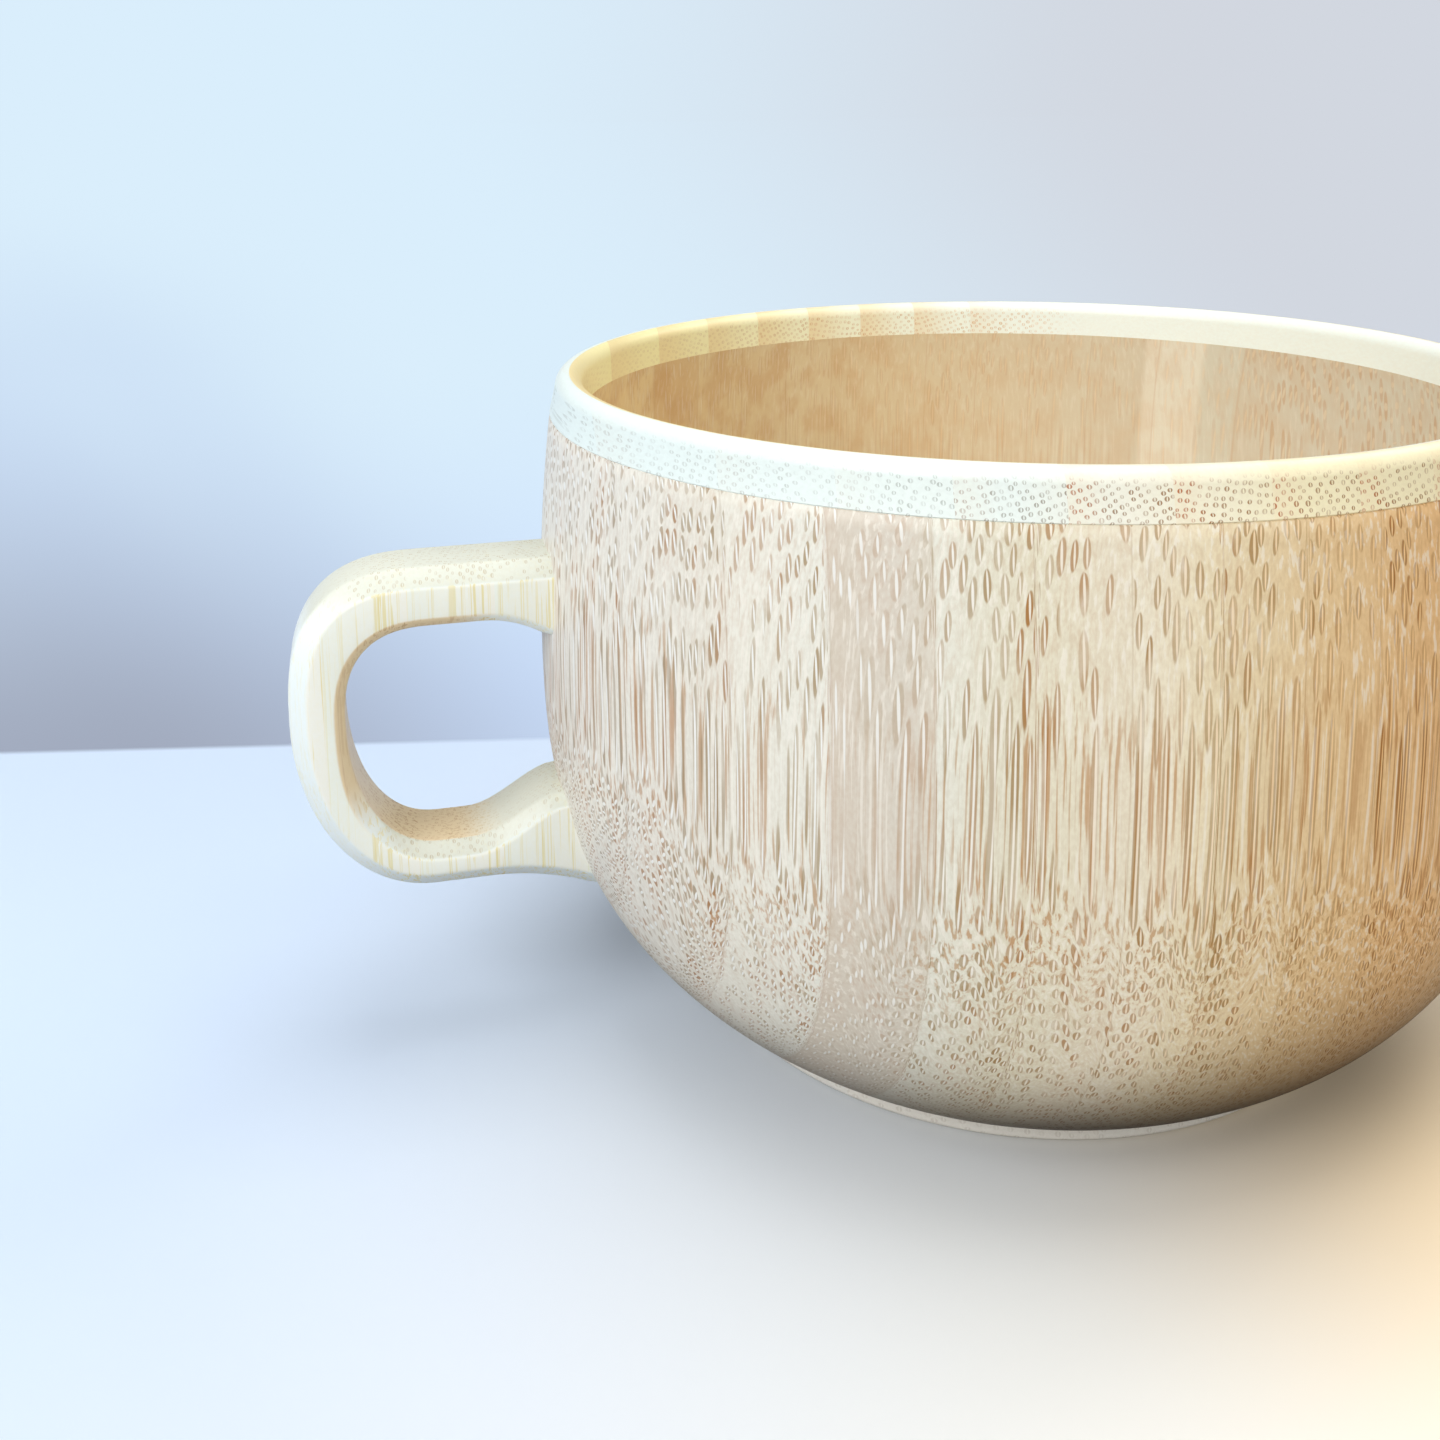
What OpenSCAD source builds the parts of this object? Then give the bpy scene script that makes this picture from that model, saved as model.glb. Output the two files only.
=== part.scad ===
// Turned bamboo cup with a loop handle
// Origin at the centre of the foot's underside, +Z up, handle towards -X.
// The body is a bowl turned from a block of upright bamboo strips glued side by side.
// A ring of paler strips is glued on top as the lip, and a paler base closes the bottom.
// All glue planes in the body, the rim ring and the handle stand across X.

/* [Body] */
// Widest outside diameter of the body
belly_d = 107; // [98:0.5:116]
// Height of the widest place above the table
belly_h = 41; // [38:0.5:44]
// How far the side draws in from the widest place up to the joint with the rim ring
neck_in = 1.6; // [0.4:0.1:4]
// Outside diameter of the body's bottom edge, as a share of the widest
heel_share = 0.682; // [0.62:0.002:0.75]
// Height of the joint between body and rim ring above the table
neck_h = 65.3; // [60:0.1:72]
// Wall thickness at the neck, measured level
wall_neck = 3.8; // [3:0.1:4.6]
// Wall thickness where the bowl meets the floor, measured level
wall_floor = 7.5; // [6:0.1:9]

/* [Rim ring] */
// Height of the rim ring above its joint
rim_h = 4.3; // [3.6:0.1:5.2]
// Width of the rounded top of the lip
lip_w = 3; // [2.4:0.1:3.6]

/* [Base] */
// Diameter of the foot, as a share of the body's bottom edge
foot_share = 0.987; // [0.9:0.001:0.998]
// Height of the base disc that shows below the body
foot_h = 1.7; // [1.2:0.1:2.4]
// Rounding of the foot's lower edge
foot_edge = 0.6; // [0.3:0.1:0.9]
// Diameter of the plug that goes up into the body, as a share of the foot
plug_share = 0.861; // [0.75:0.001:0.92]
// Height of the inside floor above the table
floor_h = 7.7; // [6.4:0.1:9]

/* [Handle] */
// How far the handle stands out past the body's widest place
handle_depth = 26.2; // [24:0.1:32]
// Thickness of the board that the handle is cut from
board_t = 10.4; // [9:0.1:13]
// Height of the handle's top above the body's widest place
handle_rise = 11.5; // [8:0.1:14]
// Depth of the handle's loop below the body's widest place
handle_drop = 22.8; // [20:0.1:25]
// Thickness of the upper arm
arm_t = 6; // [5:0.1:7.4]
// Thickness of the upright part of the handle
grip_t = 5.5; // [4.6:0.1:7]
// Thickness of the lower arm where it is slimmest
lower_t = 4.9; // [4:0.1:6]
// Height of the lower arm's end on the body
root_t = 9.3; // [8:0.1:11]
// Bevel along the outside edges
bevel_out = 1.8; // [1:0.1:2.2]
// Bevel along the edges of the finger hole, where it is narrowest
bevel_in = 0.9; // [0.5:0.1:1.5]

/* [Dowels] */
// Diameter of the hidden dowels that pin the handle
dowel_d = 3.6; // [3:0.1:4]
// Depth of a dowel in the body's first strip, as a share of the strip there
dowel_in_wall = 0.7; // [0.5:0.05:0.8]
// Wood left between a dowel's end and the handle's first glue plane
dowel_stop = 1; // [0.6:0.1:2]

/* [Hidden] */
belly_r = belly_d / 2;
neck_r = belly_r - neck_in;
heel_r = belly_r * heel_share;
foot_r = heel_r * foot_share;
plug_r = foot_r * plug_share;

// Glued strips in each piece of the cup
body_strips = 16;
rim_strips = 13;
base_strips = 4;
body_pitch = belly_d / (body_strips - 0.71);
rim_pitch = 2 * neck_r / (rim_strips + 0.22);
base_pitch = 2 * foot_r / (base_strips - 0.57);
body_first = -belly_r + body_pitch * 0.67;
rim_first = -neck_r + rim_pitch * 1.28;
base_first = -foot_r + base_pitch * 0.405;
function glue(first, pitch, count) = [for (i = [0:count - 2]) first + pitch * i];
body_glue = glue(body_first, body_pitch, body_strips);
rim_glue = glue(rim_first, rim_pitch, rim_strips);
base_glue = glue(base_first, base_pitch, base_strips);

// Outside and inside of the bowl
heel_power = 2.8;
lower_drop = (belly_h - foot_h) / pow(1 - pow(heel_r / belly_r, 2), 1 / heel_power);
function outer_r(z) =
    z < belly_h
    ? belly_r * sqrt(1 - pow((belly_h - z) / lower_drop, heel_power))
    : belly_r - (belly_r - neck_r) * pow((z - belly_h) / (neck_h - belly_h), 2);
function wall_at(z) = wall_neck + (wall_floor - wall_neck) * pow((neck_h - z) / (neck_h - floor_h), 2);
function inner_r(z) = outer_r(z) - wall_at(z);
profile_steps = 16;
outer_line = [
    for (i = [0:profile_steps])
        let (t = i / profile_steps, z = foot_h + (neck_h - foot_h) * t * t * (1.6 - 0.6 * t))
            [outer_r(z), z]
];
inner_line = [
    for (i = [profile_steps:-1:0])
        let (t = i / profile_steps, z = floor_h + (neck_h - floor_h) * t * t * (1.6 - 0.6 * t))
            [inner_r(z), z]
];

// Rim ring: a low band with a rounded lip that leans a little inwards
lip_r = neck_r - wall_neck * 0.56;
lip_round = lip_w / 2;
lip_steps = 8;
rim_top = neck_h + rim_h;
lip_line = [
    for (i = [0:lip_steps])
        let (a = 180 * i / lip_steps)
            [lip_r + lip_round * cos(a), rim_top - lip_round + lip_round * sin(a)]
];

// Side view of the handle, as [distance from the axis, height]
reach = belly_r + handle_depth;
handle_top = belly_h + handle_rise;
handle_low = belly_h - handle_drop;
grip_mid = handle_low + (handle_top - handle_low) * 0.55;
bend_out = belly_r + handle_depth * 0.48;
bend_in = bend_out - arm_t * 0.12;
arm_start = belly_r - handle_depth * 0.245;
arm_under = handle_top - arm_t;
hole_low = handle_low + lower_t;
hole_end = reach - grip_t;
flare = arm_t * 0.4;
root_top = handle_low + root_t - arm_t * 0.05;
root_drop = lower_t * 0.7;
bend_steps = 8;
root_steps = 8;
function bulge(a, p) = pow(abs(a), 2 / p);
function bend(h, mid, wide, high, p, from, to) = [
    for (i = [0:bend_steps])
        let (a = from + (to - from) * i / bend_steps)
            [h + wide * bulge(cos(a), p), mid + high * bulge(sin(a), p) * sign(high) * sign(sin(a))]
];
function ease(t) = t * t * (3 - 2 * t);
function tail(list) = [for (i = [1:len(list) - 1]) list[i]];
function shift_h(h, t) = h + (arm_start - h) * t;

// Both side lines run from the upper arm's end round to the lower arm's end, with a point for each station
outer_line_upper = [
    for (t = [1, 0.72, 0.56, 0.4, 0.2])
        [shift_h(bend_out, t), handle_top]
];
inner_line_upper = [
    for (t = [1, 0.66, 0.54, 0.42, 0.28])
        [shift_h(bend_in, t), arm_under - flare * pow(max(0, min(1, (t - 0.28) / 0.38)), 2)]
];
outer_line_root = [
    for (i = [1:root_steps])
        let (t = i / root_steps)
            [shift_h(bend_out, t), handle_low - root_drop * pow(max(0, (t - 0.3) / 0.7), 2)]
];
inner_line_root = [
    for (i = [1:root_steps])
        let (t = i / root_steps, rise = ease(max(0, min(1, (t - 0.17) / 0.55))))
            [shift_h(bend_in, t), hole_low + (root_top - hole_low) * rise]
];
outer_side = concat(
    outer_line_upper,
    bend(bend_out, grip_mid, reach - bend_out, handle_top - grip_mid, 2.7, 90, 0),
    tail(bend(bend_out, grip_mid, reach - bend_out, grip_mid - handle_low, 2.05, 0, -90)),
    outer_line_root
);
inner_side = concat(
    inner_line_upper,
    bend(bend_in, grip_mid, hole_end - bend_in, arm_under - grip_mid, 2.6, 90, 0),
    tail(bend(bend_in, grip_mid, hole_end - bend_in, grip_mid - hole_low, 2.2, 0, -90)),
    inner_line_root
);
stations = len(outer_side);
last = stations - 1;
// Unit vector square to a side line at station k, towards the loop's middle
function across(line, k) =
    let (d = line[min(last, k + 1)] - line[max(0, k - 1)])
        [d[1], -d[0]] / norm(d);
// The finger hole's bevel widens towards the lower arm
function hole_bevel(z) = bevel_in * (1 + 0.6 * ease(max(0, min(1, (grip_mid - z) / (grip_mid - hole_low)))));
// The eight corners of the bevelled section at station k
function corner(side, y, p) = [-p[0], side * y, p[1]];
function section(k) =
    let (
        out = outer_side[k],
        in = inner_side[k],
        toward_in = k == 0 ? [0, -1] : k == last ? [0, 1] : across(outer_side, k),
        toward_out = k == 0 ? [0, 1] : k == last ? [0, -1] : -across(inner_side, k),
        out_cut = out + toward_in * bevel_out,
        cut = hole_bevel(in[1]),
        in_cut = in + toward_out * cut,
        face = board_t / 2
    ) [
        corner(-1, face, out_cut),
        corner(-1, face - bevel_out, out),
        corner(1, face - bevel_out, out),
        corner(1, face, out_cut),
        corner(1, face, in_cut),
        corner(1, face - cut, in),
        corner(-1, face - cut, in),
        corner(-1, face, in_cut)
    ];
corners = 8;
handle_points = [for (k = [0:last]) each section(k)];
handle_faces = concat(
    [[for (j = [0:corners - 1]) j]],
    [
        for (k = [0:last - 1])
            for (j = [0:corners - 1])
                let (a = k * corners, n = (j + 1) % corners)
                    each [[a + n, a + j, a + corners + j], [a + n, a + corners + j, a + corners + n]]
    ],
    [[for (j = [corners - 1:-1:0]) last * corners + j]]
);

// Glue planes in the handle, as distances from the axis
handle_glue = [for (share = [0.21, 0.538, 0.866]) belly_r + handle_depth * share];

// Dowels sit in the middle of each arm's end, and stop short of the strips' glue planes
upper_dowel_z = handle_top - arm_t * 0.52;
lower_dowel_z = handle_low + root_t * 0.34;
dowel_r = dowel_d / 2;
function dowel_from(z) = outer_r(z) - (outer_r(z) + body_glue[0]) * dowel_in_wall;
dowel_to = handle_glue[0] - dowel_stop;

body_color = "#c7a583";
rim_color = "#efe6cf";
handle_color = "#e9e6c4";
base_color = "#dcd3bf";
dowel_color = "#cdb98a";

function two(i) = i < 10 ? str("0", i) : str(i);
function body_name(i, side) = str("body_strip_", two(i), side < 0 ? "_front" : "_back");
body_names = [
    for (i = [2:body_strips - 1])
        for (side = [-1, 1])
            body_name(i, side)
];
rim_names = [for (i = [1:rim_strips]) str("rim_strip_", two(i))];
base_names = [for (i = [1:base_strips]) str("base_strip_", i)];

// The whole bowl before it is cut into strips
module bowl() {
    rotate_extrude($fn = 96)
        polygon(concat([[plug_r, foot_h]], outer_line, inner_line, [[plug_r, floor_h]]));
}

// The bowl's outside, filled, for coping the handle's ends
module bowl_outside() {
    rotate_extrude($fn = 96)
        polygon(concat([[0, foot_h]], outer_line, [[0, neck_h]]));
}

module rim_ring() {
    rotate_extrude($fn = 96)
        polygon(concat([[neck_r - wall_neck, neck_h], [neck_r, neck_h]], lip_line));
}

module base_disc() {
    rotate_extrude($fn = 96)
        polygon([
            [0, 0],
            [foot_r - foot_edge, 0],
            [foot_r, foot_edge],
            [foot_r, foot_h],
            [plug_r, foot_h],
            [plug_r, floor_h],
            [0, floor_h]
        ]);
}

// Everything between two glue planes that stand across X
module slab(x0, x1, depth, tall) {
    translate([x0, -depth, 0])
        cube([x1 - x0, 2 * depth, tall]);
}

// The half of a slab on one side of the middle seam
module half_slab(x0, x1, side, depth, tall) {
    translate([x0, side < 0 ? -depth : 0, 0])
        cube([x1 - x0, depth, tall]);
}

module dowel(z) {
    translate([-dowel_to, 0, z])
        rotate([0, 90, 0])
            cylinder(h = dowel_to - dowel_from(z), r = dowel_r, $fn = 48);
}

module dowels() {
    dowel(upper_dowel_z);
    dowel(lower_dowel_z);
}

module body_strip(i, side) {
    color(body_color)
        intersection() {
            bowl();
            half_slab(body_glue[i - 2], body_glue[i - 1], side, belly_r * 1.1, neck_h * 1.1);
        }
}

// The outermost strip on the handle's side holds both dowels
module body_strip_handle_side() {
    color(body_color)
        difference() {
            intersection() {
                bowl();
                slab(-belly_r * 1.1, body_glue[0], belly_r * 1.1, neck_h * 1.1);
            }
            dowels();
        }
}

module body_strip_far_side() {
    color(body_color)
        intersection() {
            bowl();
            slab(body_glue[body_strips - 2], belly_r * 1.1, belly_r * 1.1, neck_h * 1.1);
        }
}

module rim_strip(i) {
    x0 = i == 1 ? -neck_r * 1.1 : rim_glue[i - 2];
    x1 = i == rim_strips ? neck_r * 1.1 : rim_glue[i - 1];
    color(rim_color)
        intersection() {
            rim_ring();
            slab(x0, x1, neck_r * 1.1, rim_top * 1.1);
        }
}

module base_strip(i) {
    x0 = i == 1 ? -foot_r * 1.1 : base_glue[i - 2];
    x1 = i == base_strips ? foot_r * 1.1 : base_glue[i - 1];
    color(base_color)
        intersection() {
            base_disc();
            slab(x0, x1, foot_r * 1.1, floor_h * 1.1);
        }
}

// The bevelled board, cut to the handle's side view
module handle_board() {
    polyhedron(points = handle_points, faces = handle_faces, convexity = 6);
}

// A piece of the handle between two distances from the axis and two heights
module handle_piece(h0, h1, z0, z1) {
    color(handle_color)
        intersection() {
            handle_board();
            translate([-h1, -board_t, z0])
                cube([h1 - h0, 2 * board_t, z1 - z0]);
        }
}

// An inner strip is coped to the bowl and bored for its dowel
module handle_inner_strip(z0, z1) {
    difference() {
        handle_piece(arm_start * 0.9, handle_glue[0], z0, z1);
        bowl_outside();
        dowels();
    }
}

module handle_upper_inner_strip() {
    handle_inner_strip(grip_mid, neck_h);
}

module handle_lower_inner_strip() {
    handle_inner_strip(0, grip_mid);
}

module handle_upper_middle_strip() {
    handle_piece(handle_glue[0], handle_glue[1], grip_mid, neck_h);
}

module handle_lower_middle_strip() {
    handle_piece(handle_glue[0], handle_glue[1], 0, grip_mid);
}

module handle_bend_strip() {
    handle_piece(handle_glue[1], handle_glue[2], 0, neck_h);
}

module handle_outer_strip() {
    handle_piece(handle_glue[2], reach * 1.1, 0, neck_h);
}

module upper_dowel() {
    color(dowel_color)
        dowel(upper_dowel_z);
}

module lower_dowel() {
    color(dowel_color)
        dowel(lower_dowel_z);
}

body_strip_handle_side();
body_strip_far_side();
for (i = [2:body_strips - 1])
    for (side = [-1, 1])
        body_strip(i, side);
for (i = [1:rim_strips])
    rim_strip(i);
for (i = [1:base_strips])
    base_strip(i);
handle_upper_inner_strip();
handle_lower_inner_strip();
handle_upper_middle_strip();
handle_lower_middle_strip();
handle_bend_strip();
handle_outer_strip();
upper_dowel();
lower_dowel();
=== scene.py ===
"""Turned bamboo cup: the strips, the rim ring, the base and the loop handle, dressed and lit."""
import math

import bmesh
import bpy
from mathutils import Matrix, Vector


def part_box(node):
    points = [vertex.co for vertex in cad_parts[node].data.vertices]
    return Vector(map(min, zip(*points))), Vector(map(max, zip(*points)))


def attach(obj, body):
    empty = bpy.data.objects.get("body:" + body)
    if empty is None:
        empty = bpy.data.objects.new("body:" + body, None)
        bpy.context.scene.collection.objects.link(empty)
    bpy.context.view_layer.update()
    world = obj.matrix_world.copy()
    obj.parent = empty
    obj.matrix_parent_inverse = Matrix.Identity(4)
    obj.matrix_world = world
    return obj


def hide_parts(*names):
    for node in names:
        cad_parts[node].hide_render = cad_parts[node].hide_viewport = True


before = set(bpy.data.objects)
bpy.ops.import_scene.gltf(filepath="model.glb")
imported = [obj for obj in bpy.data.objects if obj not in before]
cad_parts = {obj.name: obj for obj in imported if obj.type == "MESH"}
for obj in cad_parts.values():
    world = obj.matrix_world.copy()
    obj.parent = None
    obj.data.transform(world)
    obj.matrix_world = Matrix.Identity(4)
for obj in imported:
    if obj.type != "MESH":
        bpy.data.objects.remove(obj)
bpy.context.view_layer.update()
mm = 0.001
body_name = "root"

# The bowl
belly_r = 53.5 * mm
belly_h = 41 * mm
neck_r = 51.9 * mm
neck_h = 65.3 * mm
heel_r = belly_r * 0.682
heel_power = 2.8
wall_neck = 3.8 * mm
wall_floor = 7.5 * mm
joint_line = 0.12 * mm

# The rim ring
rim_top = neck_h + 4.3 * mm
lip_w = 3 * mm
lip_r = neck_r - wall_neck * 0.56

# The base
foot_r = heel_r * 0.987
foot_h = 1.7 * mm
foot_edge = 0.6 * mm
plug_r = foot_r * 0.861
floor_h = 7.7 * mm
groove_w = 1.4 * mm
groove_h = 0.4 * groove_w

# The handle's outline and thicknesses
reach = 79.7 * mm
arm = reach - belly_r
board_t = 10.4 * mm
handle_top = 52.5 * mm
handle_low = 18.2 * mm
arm_t = 6 * mm
grip_t = 5.5 * mm
lower_t = 4.9 * mm
root_t = 9.3 * mm
grip_mid = handle_low + (handle_top - handle_low) * 0.55
hole_top = handle_top - arm_t
hole_low = handle_low + lower_t
hole_end = reach - grip_t

# The handle's arms, from inside the bowl's wall to where the bends begin
arm_start = belly_r - arm * 0.245
bend_out = belly_r + arm * 0.48
bend_in = bend_out - arm_t * 0.12
flare = arm_t * 0.4
root_top = handle_low + root_t - arm_t * 0.05
root_drop = lower_t * 0.7

# How squared-off the bends are, as (upper, lower)
OUTER_BENDS = (2.7, 2.05)
INNER_BENDS = (2.6, 2.2)

# The handle's edges and its ends
bevel_out = 1.8 * mm
bevel_in = 0.9 * mm
bevel_grows = 0.6
edge_soft = 0.3 * mm
end_sink = 0.4 * mm

# Fineness of the curves, and what counts as one point or as a sharp edge
TURN_STEPS = 288
WALL_STEPS = 64
LIP_STEPS = 24
FOOT_EDGE_STEPS = 6
BEND_STEPS = 20
ARM_STEPS = 14
SOFT_EDGE_STEPS = 3
HALVINGS = 40
same_point = 0.001 * mm
saw_slack = 0.0005 * mm
sharp_edge = math.radians(38)
long_edge = math.radians(30)

BODY_STRIPS = 16
BODY_ENDS = {1: "body_strip_handle_side", BODY_STRIPS: "body_strip_far_side"}
RIM_STRIPS = 13
BASE_STRIPS = 4


def low_x(node):
    """The lowest X of a CAD node."""
    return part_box(node)[0].x


def body_node(i, side):
    """The CAD node of one half of a body strip."""
    return f"body_strip_{i:02d}_{side}"


# Glue planes across X, read from the frame; the handle's are shares of its arm
body_glue = [low_x(body_node(i, "front")) for i in range(2, BODY_STRIPS)]
body_glue.append(low_x("body_strip_far_side"))
rim_glue = [low_x(f"rim_strip_{i:02d}") for i in range(2, RIM_STRIPS + 1)]
base_glue = [low_x(f"base_strip_{i}") for i in range(2, BASE_STRIPS + 1)]
body_pitch = body_glue[1] - body_glue[0]
rim_pitch = rim_glue[1] - rim_glue[0]
base_pitch = base_glue[1] - base_glue[0]
handle_glue = [-(belly_r + arm * share) for share in (0.866, 0.538, 0.21)]
handle_pitch = arm * 0.328
hole_middle = -(belly_r + arm * 0.4)


# Profile of the bowl
def outer_radius(z):
    """Outside radius of the bowl at a height."""
    if z >= belly_h:
        return belly_r - (belly_r - neck_r) * ((z - belly_h) / (neck_h - belly_h)) ** 2
    drop = (belly_h - foot_h) / (1 - (heel_r / belly_r) ** 2) ** (1 / heel_power)
    return belly_r * math.sqrt(1 - ((belly_h - z) / drop) ** heel_power)


def inner_radius(z):
    """Inside radius of the bowl at a height."""
    wall = wall_neck + (wall_floor - wall_neck) * ((neck_h - z) / (neck_h - floor_h)) ** 2
    return outer_radius(z) - wall


def spaced(t):
    """Share of a height, closer together at the bottom where the bowl curves most."""
    return t * t * (1.6 - 0.6 * t)


def new_piece(name, mesh_data, material, slot_name, *nodes):
    """Makes a finished piece of a bmesh, in place of CAD nodes."""
    for edge in mesh_data.edges:
        if len(edge.link_faces) == 2 and edge.calc_face_angle() > sharp_edge:
            edge.smooth = False
    for face in mesh_data.faces:
        face.smooth = True
    mesh = bpy.data.meshes.new(name)
    mesh_data.to_mesh(mesh)
    mesh_data.free()
    piece = bpy.data.objects.new(name, mesh)
    bpy.context.scene.collection.objects.link(piece)
    mesh.materials.append(material)
    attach(piece, body_name)
    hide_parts(*nodes)


def turned(points, closed=True):
    """Spins a profile of (radius, height) points round the cup's axis."""
    turned_mesh = bmesh.new()
    verts = [turned_mesh.verts.new((r, 0, z)) for r, z in points]
    pairs = list(zip(verts, verts[1:]))
    if closed:
        pairs.append((verts[-1], verts[0]))
    edges = [turned_mesh.edges.new(pair) for pair in pairs]
    bmesh.ops.spin(
        turned_mesh, geom=verts + edges, cent=(0, 0, 0), axis=(0, 0, 1),
        angle=math.tau, steps=TURN_STEPS, use_merge=True,
    )
    bmesh.ops.remove_doubles(turned_mesh, verts=turned_mesh.verts, dist=same_point)
    bmesh.ops.recalc_face_normals(turned_mesh, faces=turned_mesh.faces)
    return turned_mesh


def sawn(mesh_data, planes, pierced=False):
    """A copy of a closed mesh, sawn at planes of (point, normal) and closed again.

    A pierced cut has an opening inside its outline, and keeps it.
    """
    piece = mesh_data.copy()
    for point, normal in planes:
        geometry = piece.verts[:] + piece.edges[:] + piece.faces[:]
        result = bmesh.ops.bisect_plane(
            piece, geom=geometry, dist=saw_slack, plane_co=point, plane_no=normal, clear_outer=True,
        )
        cut = [e for e in result["geom_cut"] if isinstance(e, bmesh.types.BMEdge)]
        for edge in cut:
            edge.smooth = False
        if pierced:
            bmesh.ops.triangle_fill(piece, use_beauty=True, edges=cut)
        else:
            bmesh.ops.holes_fill(piece, edges=cut, sides=0)
    if pierced:
        bmesh.ops.recalc_face_normals(piece, faces=piece.faces)
    return piece


def strip_cuts(glue):
    """The planes that keep each strip between its glue planes, in the order of X."""
    low = [[]] + [[((x, 0, 0), (-1, 0, 0))] for x in glue]
    high = [[((x, 0, 0), (1, 0, 0))] for x in glue] + [[]]
    return [before + after for before, after in zip(low, high)]


# Node helpers
def put(tree, kind, inputs=None, **settings):
    """Adds one node, sets it and links or fills its inputs."""
    node = tree.nodes.new(kind)
    for name, value in settings.items():
        setattr(node, name, value)
    for key, value in (inputs or {}).items():
        if isinstance(value, bpy.types.NodeSocket):
            tree.links.new(value, node.inputs[key])
        else:
            node.inputs[key].default_value = value
    return node


def calc(tree, operation, *values, clamp=False):
    """The result of a Math node."""
    node = put(tree, "ShaderNodeMath", dict(enumerate(values)), operation=operation, use_clamp=clamp)
    return node.outputs[0]


def product(tree, *values):
    """Several values multiplied."""
    result = values[0]
    for value in values[1:]:
        result = calc(tree, "MULTIPLY", result, value)
    return result


def flipped(tree, value):
    """1 where a value is 0, and 0 where it is 1."""
    return calc(tree, "SUBTRACT", 1, value)


def distance(tree, x, y):
    """The distance of a point from the middle."""
    return calc(tree, "SQRT", calc(tree, "MULTIPLY_ADD", x, x, calc(tree, "MULTIPLY", y, y)))


def vector_calc(tree, operation, *values):
    """The result of a Vector Math node."""
    return put(tree, "ShaderNodeVectorMath", dict(enumerate(values)), operation=operation).outputs[0]


def parted(tree, vector):
    """The X, Y and Z of a vector."""
    return put(tree, "ShaderNodeSeparateXYZ", {"Vector": vector}).outputs


def noise(tree, vector, detail, rates=(1, 1, 1)):
    """A noise that changes at its own rates along X, Y and Z."""
    place = vector_calc(tree, "MULTIPLY", vector, rates)
    return put(tree, "ShaderNodeTexNoise", {"Vector": place, "Scale": 1.0, "Detail": detail}).outputs


def band(tree, value, low, high, to_low=0.0, to_high=1.0):
    """A smooth step between two values."""
    node = put(
        tree, "ShaderNodeMapRange",
        {"Value": value, "From Min": low, "From Max": high, "To Min": to_low, "To Max": to_high},
        interpolation_type="SMOOTHSTEP",
    )
    return node.outputs["Result"]


def band_linear(tree, value, low, high):
    """A straight step from 0 to 1 between two values."""
    node = put(tree, "ShaderNodeMapRange", {"Value": value, "From Min": low, "From Max": high})
    return node.outputs["Result"]


def past(tree, value, start, soft, rate):
    """Nothing before a value, then a straight rise that begins softly."""
    over = calc(tree, "SUBTRACT", value, start)
    bent = calc(tree, "SQRT", calc(tree, "MULTIPLY_ADD", over, over, soft * soft))
    return product(tree, calc(tree, "ADD", over, bent), rate / 2)


def linear(colour):
    """A screen colour from 0 to 255, as the light values that a shader takes."""
    return tuple(((c / 255 + 0.055) / 1.055) ** 2.4 if c > 10 else c / 255 / 12.92 for c in colour) + (1,)


def blend(tree, share, a, b):
    """The result of mixing two colours, each a socket or a screen colour."""
    a, b = [c if isinstance(c, bpy.types.NodeSocket) else linear(c) for c in (a, b)]
    return put(tree, "ShaderNodeMix", {0: share, 6: a, 7: b}, data_type="RGBA").outputs[2]


def stretched(ramp, count):
    """The stops of a colour ramp, brought up to a number."""
    while len(ramp.elements) < count:
        ramp.elements.new(1)
    return ramp.elements


def steps(tree, value, stops):
    """A colour ramp with its stops given as (place, screen colour)."""
    node = put(tree, "ShaderNodeValToRGB", {"Fac": value})
    for element, (place, colour) in zip(stretched(node.color_ramp, len(stops)), stops):
        element.position = place
        element.color = linear(colour)
    return node.outputs["Color"]


def strip_values(tree, share, low, high, glue, table):
    """Four plain numbers that change strip by strip, each from its left value to its right value."""
    hair = 0.0004
    edges = [low] + list(glue) + [high]
    node = put(tree, "ShaderNodeValToRGB", {"Fac": share})
    elements = stretched(node.color_ramp, 2 * len(table))
    for k, (start, end, (left, right)) in enumerate(zip(edges, edges[1:], table)):
        elements[2 * k].position = (start - low) / (high - low) + hair
        elements[2 * k].color = left
        elements[2 * k + 1].position = (end - low) / (high - low) - hair
        elements[2 * k + 1].color = right
    parts = put(tree, "ShaderNodeSeparateColor", {"Color": node.outputs["Color"]}).outputs
    return parts["Red"], parts["Green"], parts["Blue"], node.outputs["Alpha"]


def strip_place(tree, x, first, width):
    """Which strip a point is in, and its place there, from 0 at one glue plane to 1 at the next."""
    counted = calc(tree, "DIVIDE", calc(tree, "SUBTRACT", x, first), width)
    return calc(tree, "FLOOR", counted), calc(tree, "FRACT", counted)


# How fast each kind of change runs in the wood, per mm of X, Y and Z, and how far it moves the fibres
DRIFT_RATES = (0.06, 0.06, 0.014)
DRIFT_MM = (2.0, 2.0, 0)
WOBBLE_RATES = (0.6, 0.6, 0.05)
WOBBLE_MM = (0.25, 0.25, 0)
FADE_RATES = (0.55, 0.55, 0.1)
THREAD_RATES = (2.8, 2.8, 0.035)
FLESH_RATES = (3.4, 3.4, 1.6)
STRIP_SLIDE_MM = (61, 83, 47)

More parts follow.
